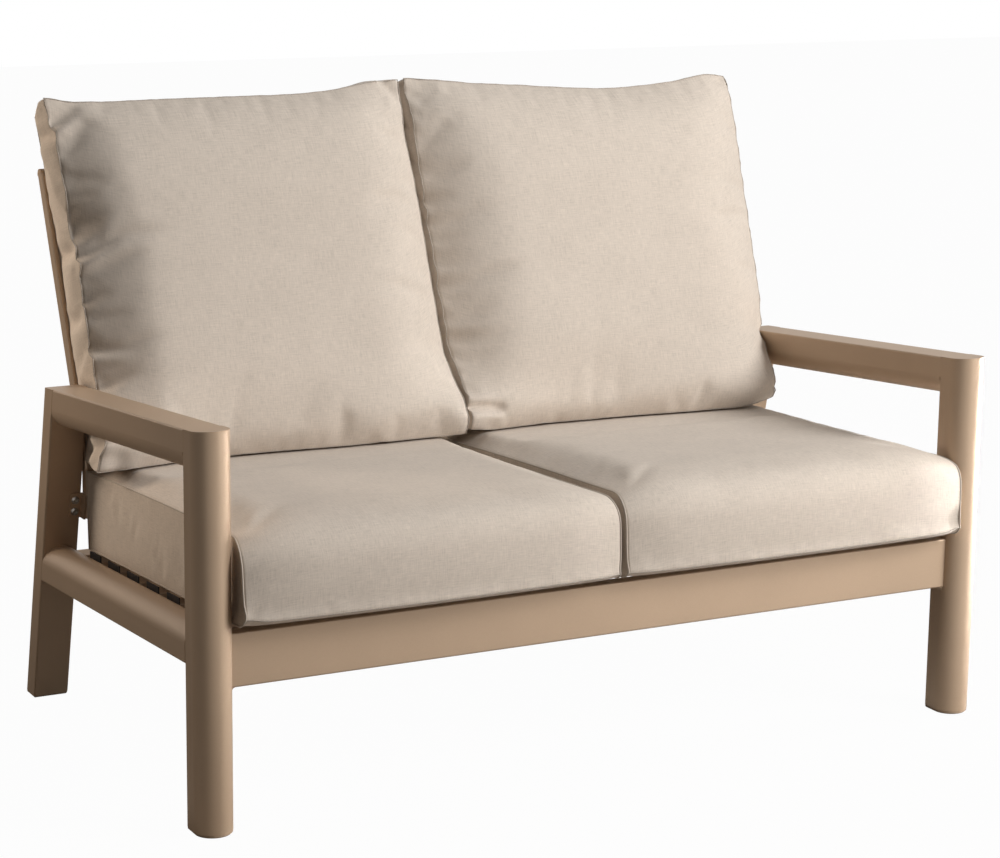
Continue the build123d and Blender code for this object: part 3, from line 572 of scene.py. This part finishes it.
# The front seam of each back pad, read from the photograph, in millimetres like every list of places below.
# Each side seam: (height up the back, distance from the middle)
OUTER_SEAM = {
    "left": ((-70, 638), (0, 634), (110, 634), (200, 634), (300, 632), (440, 636), (530, 638), (560, 646)),
    "right": ((-70, 598), (-45, 604), (-22, 620), (20, 630), (60, 640), (122, 654), (200, 657), (300, 661),
              (430, 669), (520, 675), (560, 669)),
}
INNER_SEAM = {
    "left": ((-70, 5), (100, 4), (300, 3), (430, 3), (475, 10), (520, 2), (575, -1)),
    "right": ((-70, 8), (100, 8), (300, 9), (450, 12), (520, 15), (575, 16)),
}
# The top seam: (distance from the middle, height up the back)
TOP_SEAM = {
    "left": ((-5, 588), (40, 587), (80, 580), (120, 572), (200, 565), (420, 562), (560, 559), (620, 558), (645, 566)),
    "right": ((5, 577), (40, 576), (80, 574), (120, 568), (200, 564), (280, 558), (400, 551), (480, 555),
              (570, 564), (620, 575), (650, 577), (668, 567)),
}
# How far forward the foot of each face rests on the seat: (distance from the middle, depth)
FOOT_REACH = {
    "left": ((5, 148), (180, 155), (317, 140), (434, 132), (520, 141), (590, 166), (640, 160)),
    "right": ((5, 144), (100, 133), (181, 127), (336, 137), (448, 154), (561, 166), (600, 156), (640, 138)),
}
BACK_LOW_FRONT, BACK_LOW_REAR = -70 * MM, -24 * MM
# How near the middle plane each pad may come: at its top ear and below it
BACK_INNER_LIMITS = {"left": (-2, 2), "right": (9, 5)}
BACK_EAR_HEIGHT = 490 * MM
BACK_WIDEST = 680 * MM
ARM_BAND = 70 * MM              # the height below the arm's top that the arm takes up


def back_shape(grid, side, name):
    """A back pad: a full face and a rear panel, joined by a gusset between two seams."""
    u, v, w = grid.u, grid.v, grid.w

    def outline(low, draw):
        def inner_line(t):
            height = low + t * (BACK_INNER_HEIGHT - low)
            return np.stack([through_points(INNER_SEAM[name], height) + draw, height - draw], 1)

        def outer_line(t):
            height = low + t * (BACK_OUTER_HEIGHT - low)
            return np.stack([through_points(OUTER_SEAM[name], height) - draw, height - draw], 1)

        def low_line(s):
            start, end = inner_line(np.zeros(1))[0], outer_line(np.zeros(1))[0]
            return start + s[:, None] * (end - start)

        def high_line(s):
            start, end = inner_line(np.ones(1))[0], outer_line(np.ones(1))[0]
            line = start + s[:, None] * (end - start)
            line[:, 1] = through_points(TOP_SEAM[name], line[:, 0]) - draw
            return line

        return blended_patch((u + 1) / 2, (v + 1) / 2, low_line, high_line, inner_line, outer_line)

    t = ((w + 1) / 2)[:, None]
    front, rear = outline(BACK_LOW_FRONT, 0.0), outline(BACK_LOW_REAR, BACK_REAR_DRAW)
    flat = rear + (front - rear) * t
    corner = eased(np.abs(u), 0.8, 1.0) * eased(np.abs(v), 0.8, 1.0)
    to_side, to_edge = (1 - np.abs(u)) * BACK_HALF, (1 - np.abs(v)) * BACK_HALF
    rolled = (u > 0) & (name == "left")
    across = np.where(rolled, fullness(to_side, 100 * MM, 1.5), fullness(to_side, 150 * MM))
    crown = across * np.where(v > 0, fullness(to_edge, 210 * MM), fullness(to_edge, 70 * MM, 2.0))
    front_taper, rear_taper = BACK_CORNER_TAPER
    face_depth = BACK_SEAM_DEPTH - front_taper * corner * (v > 0) + BACK_CROWN * crown
    foot = through_points(FOOT_REACH[name], flat[:, 0]) - BACK_FOOT_ROLL * eased(-v, 0.86, 1.0) ** 2
    face_depth = face_depth + (foot - face_depth) * eased(-v, 0.45, 0.86)
    rear_depth = CONTACT_GAP + rear_taper * corner
    depth = rear_depth + (face_depth - rear_depth) * t[:, 0]
    middle = np.sin(math.pi * t[:, 0])
    belly = BACK_BELLY * middle * (1 - 0.5 * eased(np.abs(v), 0.7, 1.0))
    outward = np.where(np.abs(u) > ON_EDGE, np.sign(u), 0)
    upward = np.where(v > ON_EDGE, 1.0, 0)
    flat[:, 0] += outward * belly * np.where(u < 0, 0.25, 1.0)
    flat[:, 1] += upward * BACK_TOP_BELLY * middle
    return np.column_stack([side * flat[:, 0], flat[:, 1], depth])


def back_limits(points, cushion):
    """Keep a back pad off the slats, the seat pads, the arms and its neighbour, flat where it rests."""
    side = cushion.side
    points[:, 2] = np.maximum(points[:, 2], CONTACT_GAP)
    world = cushion.to_world(points)
    seat = (world - SEAT_ORIGIN) @ SEAT_AXES.T
    foot_gap = BACK_FOOT_GAP * eased(cushion.grid.w, -0.2, 0.9)
    lift = np.maximum(0.0, SEAT_TOP + CONTACT_GAP + foot_gap - seat[:, 2])
    world += np.outer(lift, SEAT_AXES[2])
    arm_top = ARM_TOP_Z - (world[:, 1] - NOSE_Y) * math.tan(ARM_FALL)
    under_arm_top = world[:, 2] < arm_top + 5 * MM
    beside_arm = under_arm_top & (world[:, 2] > arm_top - ARM_BAND)
    leg_front = REAR_LEG_LOW[1] + (REAR_LEG_HIGH[2] - world[:, 2]) * math.tan(REAR_LEG_LEAN)
    beside_leg = under_arm_top & (world[:, 1] > leg_front - 6 * MM)
    outer_limit = np.where(beside_arm | beside_leg, INNER_X - 3 * MM, BACK_WIDEST)
    at_top, below = BACK_INNER_LIMITS[cushion.side_name]
    inner_limit = np.where(points[:, 1] > BACK_EAR_HEIGHT, at_top, below) * MM
    world[:, 0] = side * np.clip(side * world[:, 0], inner_limit, outer_limit)
    return cushion.to_local(world)


class Cushion:
    """One cushion: its grid, its axes and the shape it has before and after filling."""

    def __init__(self, kind, side_name, side, origin, axes, cells):
        self.name = f"{kind}_pad_{side_name}"
        self.node = f"{kind}_cushion_{side_name}"
        self.side_name, self.side, self.origin, self.axes = side_name, side, origin, axes
        self.grid = PadGrid(cells)
        self.faces = self.grid.faces if side > 0 else [face[::-1] for face in self.grid.faces]

    def to_world(self, local):
        """From the cushion's own axes to the model's."""
        return self.origin + local @ self.axes

    def to_local(self, world):
        """From the model's axes to the cushion's own."""
        return (world - self.origin) @ self.axes.T

    def make_object(self, points, seams):
        """A mesh object with the cloth's coordinates as its UV map and creased seams."""
        mesh = bpy.data.meshes.new(self.name)
        mesh.from_pydata([tuple(p) for p in self.to_world(points)], [], self.faces)
        corners = np.array(self.faces)
        axis, sign = np.array(self.grid.face_sides).T[:, :, None]
        x, y, z = self.flat[corners].transpose(2, 0, 1)
        over_front = (axis == 2) & (sign > 0) | (axis == 1) & (sign < 0)
        first = np.where(axis == 0, z, x)
        second = np.where(over_front, y + z, np.where(axis == 1, z, y))
        layer = mesh.uv_layers.new(name="cloth")
        layer.data.foreach_set("uv", np.stack([first, second], 2).reshape(-1))
        mesh.polygons.foreach_set("use_smooth", [True] * len(mesh.polygons))
        sewn = {frozenset(pair) for row in seams for pair in zip(row, row[1:])}
        crease = mesh.attributes.new("crease_edge", "FLOAT", "EDGE")
        for edge in mesh.edges:
            if frozenset(edge.vertices) in sewn:
                crease.data[edge.index].value = 0.65
        mesh.update()
        piece = bpy.data.objects.new(self.name, mesh)
        bpy.context.scene.collection.objects.link(piece)
        return piece


FILLING_FRAMES = 20


def fill_with_air(cushion, piece, seams, held, pressure, slack, gather, cap):
    """Fill a pad by a short cloth simulation, and give its new points in its own axes.

    The panels start with slack, the seams gather by shrinking, the held points stay and the pressure swells
    the rest, by no more than the cap.
    """
    mesh = piece.data
    start = np.empty(len(mesh.vertices) * 3)
    mesh.vertices.foreach_get("co", start)
    start = start.reshape(-1, 3)
    sewn = piece.vertex_groups.new(name="sewn")
    for vertex in sorted({vertex for row in seams for vertex in row}):
        beside = abs(cushion.grid.u[vertex]) > ON_EDGE
        sewn.add([vertex], 1.0 if beside else 0.35, "REPLACE")
    pins = piece.vertex_groups.new(name="held")
    for vertex in np.nonzero(held > 0)[0]:
        pins.add([int(vertex)], float(held[vertex]), "REPLACE")
    modifier = piece.modifiers.new("filling", "CLOTH")
    cloth = modifier.settings
    cloth.quality = 6
    cloth.mass = 0.25
    cloth.tension_stiffness = cloth.compression_stiffness = 18
    cloth.shear_stiffness = 6
    cloth.bending_stiffness = 0.6
    cloth.use_pressure = True
    cloth.uniform_pressure_force = pressure
    cloth.vertex_group_mass = "held"
    cloth.pin_stiffness = 1.0
    cloth.vertex_group_shrink = "sewn"
    cloth.shrink_min = -slack
    cloth.shrink_max = gather
    cloth.effector_weights.gravity = 0
    modifier.collision_settings.use_collision = False
    scene = bpy.context.scene
    modifier.point_cache.frame_start, modifier.point_cache.frame_end = 1, FILLING_FRAMES
    for step in range(1, FILLING_FRAMES + 1):
        scene.frame_set(step)
    filled = piece.evaluated_get(bpy.context.evaluated_depsgraph_get()).data
    end = np.empty(len(filled.vertices) * 3)
    filled.vertices.foreach_get("co", end)
    piece.modifiers.remove(modifier)
    scene.frame_set(1)
    moved = end.reshape(-1, 3) - start
    length = np.maximum(np.linalg.norm(moved, axis=1, keepdims=True), 1e-9)
    return cushion.to_local(start + moved * (cap * np.tanh(length / cap) / length))


def keep_outline(before, after, row):
    """Bring a filled pad's seam back to the line measured in the photograph, and let the gathers stay."""
    moved = before[row] - after[row]
    moved[:, 2] = 0
    window = 13
    wide = np.concatenate([moved[-(window // 2):], moved, moved[:window // 2]])
    average = np.ones(window) / window
    steady = np.stack([np.convolve(wide[:, axis], average, mode="valid") for axis in range(3)], 1)
    gap = np.linalg.norm(before[:, None, :2] - before[None, row, :2], axis=2)
    share = bell(gap, 45 * MM)
    return after + share @ steady / (share.sum(axis=1, keepdims=True) + 0.05)


def set_points(piece, cushion, points):
    """Write a pad's points back to its mesh."""
    piece.data.vertices.foreach_set("co", cushion.to_world(points).reshape(-1))
    piece.data.update()


def seam_cord(cushion, piece, row, name, radius, material, closed=True):
    """A thin cord of cloth or thread along a seam."""
    curve = bpy.data.curves.new(name, "CURVE")
    curve.dimensions = "3D"
    spline = curve.splines.new("POLY")
    spline.points.add(len(row) - 1)
    spline.use_cyclic_u = closed
    for point, vertex in zip(spline.points, row):
        point.co = (*piece.data.vertices[vertex].co, 1)
    curve.bevel_depth = radius
    curve.bevel_resolution = 2
    cord = bpy.data.objects.new(name, curve)
    bpy.context.scene.collection.objects.link(cord)
    curve.materials.append(material)
    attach(cord, cushion.node)


def finish_pad(cushion, piece):
    """Smooth a pad and put it in its CAD node's place."""
    piece.data.materials.append(linen)
    smooth = piece.modifiers.new("smooth", "SUBSURF")
    smooth.levels = smooth.render_levels = 1
    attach(piece, cushion.node)
    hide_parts(cushion.node)


def make_seat(side_name, side):
    """One seat pad, with a welt along each side seam and a plain seam under its front."""
    cushion = Cushion("seat", side_name, side, SEAT_ORIGIN, SEAT_AXES, SEAT_CELLS)
    grid = cushion.grid
    on_seam = np.abs(grid.u) > 0.96
    points = seat_limits(seat_shape(grid, side), side, on_seam)
    cushion.flat = points * (side, 1, 1)
    rings = {end: grid.ring(0, end) for end in (-1, 1)}
    lines = [grid.edge(0, {1: -1, 2: -1}), grid.edge(0, {1: 1, 2: 1}), grid.edge(0, {1: 1, 2: -1})]
    seams = [row + row[:1] for row in rings.values()] + lines
    piece = cushion.make_object(points, seams)
    held = np.where((grid.w < -ON_EDGE) | (grid.v > ON_EDGE), 1.0, 0.0)
    filled = fill_with_air(cushion, piece, seams, held, pressure=3.0, slack=0.01, gather=0.01, cap=7 * MM)
    points = seat_limits(filled, side, on_seam)
    set_points(piece, cushion, points)
    finish_pad(cushion, piece)
    for end, label in ((-1, "inner"), (1, "outer")):
        seam_cord(cushion, piece, rings[end], f"seat_welt_{label}_{side_name}", WELT_RADIUS, welt)
    seam_cord(cushion, piece, lines[0], f"seat_front_seam_{side_name}", 0.8 * MM, thread, closed=False)


# Folds in the faces of the back pads, from the photograph. Each runs from the seam into the panel:
# start and end as (distance from the middle, height up the back), then its width and depth
FACE_FOLDS = {
    "left": (
        ((645, 290), (560, 318), 9, 13), ((655, 345), (588, 336), 26, 19), ((640, 140), (575, 126), 8, 9),
        ((640, 68), (575, 95), 9, 9), ((648, 516), (590, 545), 9, 16), ((30, 572), (6, 540), 8, 9),
        ((640, 215), (600, 228), 8, 5), ((420, -75), (428, -52), 12, 4), ((180, -75), (188, -50), 13, 4),
        ((646, -16), (598, -8), 7, 11), ((642, -46), (580, -50), 7, 10), ((612, -75), (618, -30), 8, 8),
    ),
    "right": (
        ((0, 356), (60, 350), 9, 5), ((0, 318), (70, 312), 10, 5), ((0, 205), (70, 198), 11, 6),
        ((0, 105), (95, 96), 12, 6), ((0, -20), (60, -26), 8, 13), ((56, -26), (0, -20), 7, 12),
        ((655, -34), (586, -44), 7, 16), ((676, 566), (630, 535), 10, 7), ((6, 560), (44, 530), 9, 7),
        ((180, -75), (190, -48), 12, 6), ((330, -75), (322, -55), 12, 3),
    ),
}
# Pinches in the outer gusset: (height up the back, width, depth)
GUSSET_PINCHES = {
    "left": ((512, 9, 13), (312, 12, 11), (198, 12, 9), (80, 12, 6), (-20, 8, 12), (-48, 7, 9)),
    "right": ((480, 16, 4), (300, 16, 4), (120, 14, 4), (-30, 8, 12)),
}
# Corners that stand out or curl: (u sign, v sign, reach, (out, up, forward))
EARS = {
    "left": ((1, 1, 34, (3, 5, 9)), (-1, 1, 30, (-1, 3, 3)), (1, -1, 58, (24, -2, 4)), (-1, -1, 40, (0, -2, 8))),
    "right": ((1, 1, 36, (4, 5, 0)), (-1, 1, 34, (-1, 5, 0)), (1, -1, 40, (12, 6, 4)), (-1, -1, 40, (-1, 2, 10))),
}
PINCH_SLANT = 18 * MM           # a pinch leans by this height through the gusset
GATHER_REACH, GATHER_SPACING = 16 * MM, 34 * MM
GATHER_SEEDS = {"left": 7, "right": 8}


def add_folds(cushion, points, strength):
    """Press the folds, pinches and ears into a back pad."""
    grid, name, side = cushion.grid, cushion.side_name, cushion.side
    start_points = points
    points = points.copy()
    flat = np.column_stack([side * points[:, 0], points[:, 1]])
    front = grid.w > ON_EDGE
    gusset = (np.abs(grid.u) > ON_EDGE) & ~front
    for start, end, width, depth in FACE_FOLDS[name]:
        points[:, 2] += np.where(front, fold(flat, start, end, width, depth), 0)
    depth_share = (grid.w + 1) / 2
    for height, width, depth in GUSSET_PINCHES[name]:
        slant = height * MM + (0.5 - depth_share) * PINCH_SLANT
        pinch = depth * MM * bell(points[:, 1] - slant, width * MM)
        points[:, 0] -= np.where(gusset & (grid.u > 0), side * pinch * np.sin(math.pi * depth_share), 0)
    for u_sign, v_sign, reach, move in EARS[name]:
        corner = np.argmax(u_sign * grid.u + v_sign * grid.v + 0.5 * grid.w)
        gap = np.linalg.norm(flat - flat[corner], axis=1)
        share = bell(gap, reach * MM)[:, None] * np.where(grid.w > 0, 1.0, 0.6)[:, None]
        points += share * np.array([side * move[0], move[1], move[2]]) * MM
    around = points[:, 0] + points[:, 1]
    near_seam = bell((1 - np.maximum(np.abs(grid.u), np.abs(grid.v))) * BACK_HALF, GATHER_REACH)
    gathered = np.where(np.abs(grid.v) > np.abs(grid.u), 0.6, 1.6) * MM
    waves = gathers(around, GATHER_SEEDS[name], GATHER_SPACING)
    points[:, 2] += np.where(front, gathered * near_seam * waves, 0)
    return start_points + strength * (points - start_points)


def make_back(side_name, side):
    """One back pad, with its folds and a seam round its face and round its rear panel."""
    cushion = Cushion("back", side_name, side, BACK_ORIGIN, BACK_AXES, BACK_CELLS)
    grid = cushion.grid
    points = back_limits(back_shape(grid, side, side_name), cushion)
    cushion.flat = points * (side, 1, 1)
    rings = {end: grid.ring(2, end) for end in (-1, 1)}
    seams = [row + row[:1] for row in rings.values()]
    points = add_folds(cushion, points, 0.5)
    piece = cushion.make_object(back_limits(points, cushion), seams)
    held = np.where((grid.w < -ON_EDGE) | (grid.v < -ON_EDGE), 1.0, 0.0)
    held[rings[1]] = 0.35
    filled = fill_with_air(cushion, piece, seams, held, pressure=3.5, slack=0.013, gather=0.03, cap=12 * MM)
    points = keep_outline(points, filled, rings[1])
    points = add_folds(cushion, points, 0.8)
    set_points(piece, cushion, back_limits(points, cushion))
    finish_pad(cushion, piece)
    seam_cord(cushion, piece, rings[1], f"back_front_seam_{side_name}", 0.9 * MM, thread)
    seam_cord(cushion, piece, rings[-1], f"back_rear_seam_{side_name}", 0.9 * MM, thread)


for side_name, side in SIDES:
    make_seat(side_name, side)
    make_back(side_name, side)


# ---------------------------------------------------------------- floor, lights and camera
def white_share(tree, mirrored_white):
    """How white the surroundings look: fully to the camera and through glass, and in part in a mirror."""
    path = tree.add("ShaderNodeLightPath")
    mirrored = tree.math("MULTIPLY", path.outputs["Is Glossy Ray"], mirrored_white)
    seen = tree.math("MAXIMUM", path.outputs["Is Camera Ray"], path.outputs["Is Transmission Ray"])
    return tree.math("MAXIMUM", seen, mirrored)


FLOOR_COLOR = (0.36, 0.33, 0.30, 1)
FLOOR_WHITE = 0.975             # the rest of the floor's look is its shaded colour, with the shadow
WORLD_COLOR, WORLD_STRENGTH, WORLD_MIRRORED = (1.0, 0.86, 0.72, 1), 0.06, 0.7


def make_floor():
    """A pale floor that is white to the camera and keeps the object's shadow.

    In the photograph the frame mirrors a bright floor in front of the seat and a dim one under and behind it.
    """
    mesh = bpy.data.meshes.new("floor")
    reach = 12.0
    corners = [(-reach, -reach, 0), (reach, -reach, 0), (reach, reach, 0), (-reach, reach, 0)]
    mesh.from_pydata(corners, [], [(0, 1, 2, 3)])
    floor = bpy.data.objects.new("floor", mesh)
    bpy.context.scene.collection.objects.link(floor)
    tree = Tree(bpy.data.materials.new("floor"))
    tree.shader.inputs["Base Color"].default_value = FLOOR_COLOR
    tree.shader.inputs["Roughness"].default_value = 0.9
    tree.shader.inputs["Specular IOR Level"].default_value = 0.0
    glow = tree.add("ShaderNodeEmission", {"Color": (1, 1, 1, 1), "Strength": 1.0})
    place = tree.add("ShaderNodeSeparateXYZ", {0: tree.add("ShaderNodeTexCoord").outputs["Object"]})
    # The floor's white in reflections is graded across it: a painted reflection, bright in front of the seat, fading
    # to painted shade under and behind it, where the seat shadows the floor
    to_front_right = tree.math("SUBTRACT", tree.math("MULTIPLY", place.outputs["X"], 0.5),
                               tree.math("MULTIPLY", place.outputs["Y"], 0.87))
    painted_floor_reflection = tree.add("ShaderNodeMapRange", {
        "Value": to_front_right, "From Min": 0.3, "From Max": 1.4, "To Min": 0.03, "To Max": 1.0,
    }).outputs["Result"]
    share = tree.math("MULTIPLY", white_share(tree, painted_floor_reflection), FLOOR_WHITE)
    mix = tree.add("ShaderNodeMixShader", {0: share, 1: tree.shader.outputs[0], 2: glow.outputs[0]})
    tree.links.new(mix.outputs[0], tree.nodes["Material Output"].inputs["Surface"])
    mesh.materials.append(tree.material)


def make_world():
    """Soft even light, with a white background for the camera and for reflections."""
    world = bpy.data.worlds.new("studio")
    bpy.context.scene.world = world
    tree = Tree(world)
    tree.nodes.clear()
    soft = tree.add("ShaderNodeBackground", {"Color": WORLD_COLOR, "Strength": WORLD_STRENGTH})
    white = tree.add("ShaderNodeBackground", {"Color": (1, 1, 1, 1), "Strength": 1.0})
    share = white_share(tree, WORLD_MIRRORED)
    mix = tree.add("ShaderNodeMixShader", {0: share, 1: soft.outputs[0], 2: white.outputs[0]})
    output = tree.add("ShaderNodeOutputWorld")
    tree.links.new(mix.outputs[0], output.inputs["Surface"])


def area_light(name, place, target, size, power, color=(1, 1, 1), spread=180, mirrored=True):
    """A soft square lamp that looks at a target, with or without a reflection of the lamp."""
    light = bpy.data.lights.new(name, "AREA")
    light.shape = "SQUARE"
    light.size = size
    light.energy = power
    light.color = color
    light.spread = math.radians(spread)
    lamp = bpy.data.objects.new(name, light)
    lamp.location = place
    lamp.rotation_euler = (Vector(target) - Vector(place)).to_track_quat("-Z", "Y").to_euler()
    lamp.visible_glossy = mirrored
    bpy.context.scene.collection.objects.link(lamp)


# The photograph's camera, from a fit to the frame's edges: its yaw, pitch and roll, its place, and its lens
CAMERA_TURN = (28.083, 12.322, 0.733)
CAMERA_X, CAMERA_TO_NOSE, CAMERA_HEIGHT = -2130.97 * MM, 3591.07 * MM, 1461.79 * MM
CAMERA_LENS, CAMERA_SENSOR = 100.21, 36.0


def make_camera():
    """A camera that sees the model as the photograph does."""
    yaw, pitch, roll = (math.radians(angle) for angle in CAMERA_TURN)
    place = Vector((CAMERA_X, NOSE_Y - CAMERA_TO_NOSE, CAMERA_HEIGHT))
    forward = Vector((math.sin(yaw) * math.cos(pitch), math.cos(yaw) * math.cos(pitch), -math.sin(pitch)))
    level = Vector((math.cos(yaw), -math.sin(yaw), 0))
    upright = level.cross(forward)
    right = level * math.cos(roll) + upright * math.sin(roll)
    up = upright * math.cos(roll) - level * math.sin(roll)
    data = bpy.data.cameras.new("camera")
    data.lens, data.sensor_width = CAMERA_LENS, CAMERA_SENSOR
    data.sensor_fit = "HORIZONTAL"
    camera = bpy.data.objects.new("camera", data)
    turn = Matrix((right, up, -forward)).transposed().to_4x4()
    camera.matrix_world = Matrix.Translation(place) @ turn
    bpy.context.scene.collection.objects.link(camera)
    bpy.context.scene.camera = camera


make_floor()
make_world()
# A key lamp at the front right, its light off the floor, a weak one above, and two small ones for single tubes
area_light("key", (2.55, -2.75, 2.6), (-0.1, 0, 0.45), 1.5, 170)
area_light("bounce", (1.5, -2.3, 0.35), (0.3, -0.4, 0.35), 1.2, 12)
area_light("top", (0.2, 0.1, 3.2), (0, 0, 0.4), 2.2, 15, (0.95, 0.98, 1.0))
area_light("left_rear", (-1.75, 1.4, 1.05), (-0.66, 0.25, 0.66), 0.7, 2.3, (1.0, 0.86, 0.72), 48, mirrored=False)
area_light("right_leg", (1.9, -0.48, 0.35), (0.7, -0.43, 0.3), 0.25, 2.2, spread=40)
make_camera()
bpy.context.scene.view_settings.view_transform = "Standard"
